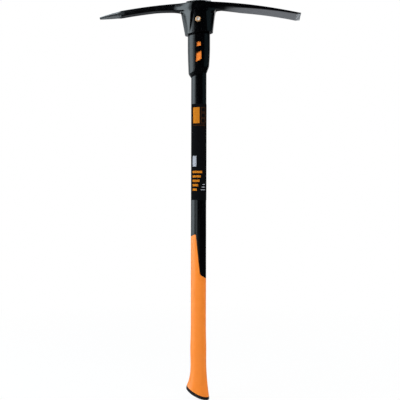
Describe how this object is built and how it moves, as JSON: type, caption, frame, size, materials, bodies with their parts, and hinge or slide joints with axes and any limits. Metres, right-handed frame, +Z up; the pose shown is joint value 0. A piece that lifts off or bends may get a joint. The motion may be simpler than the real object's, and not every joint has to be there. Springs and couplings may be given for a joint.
{
  "type": "pick axe",
  "caption": "Long handled pick axe: forged steel head with spike and adze blade, bolted to an oval composite handle with moulded neck collar and flared soft grip.",
  "frame": {"origin": "on the handle axis at the level of the arms' undersides beside the eye, where a tool rack carries the head", "axes": "+Z up along the handle towards the head, +X along the head towards the blade, -Y the front that faces the picture"},
  "size_m": [0.4577, 0.059, 0.9085],
  "materials": {
    "coated_steel": "satin black coat on forged steel",
    "zinc_steel": "yellow zinc plated steel",
    "bush_steel": "turned steel, hidden",
    "black_moulding": "fine moulded satin",
    "black_composite": "smooth satin gloss composite",
    "rod_composite": "drawn fibre rod, hidden",
    "orange_elastomer": "matt elastomer",
    "orange_grip": "matt soft grip with a fine raised texture",
    "printed_film": "thin printed film"
  },
  "bodies": {
    "root": {"pick_head": "coated_steel", "shock_sleeve": "orange_elastomer", "top_cap": "black_moulding", "head_bolt": "zinc_steel", "sleeve_nut": "zinc_steel", "bolt_bush": "bush_steel", "neck_collar": "black_moulding", "shaft": "black_composite", "damping_layer": "orange_elastomer", "core_rod": "rod_composite", "grip": "orange_grip", "butt_cap": "black_moulding", "label_film": "printed_film"}
  },
  "joints": []
}
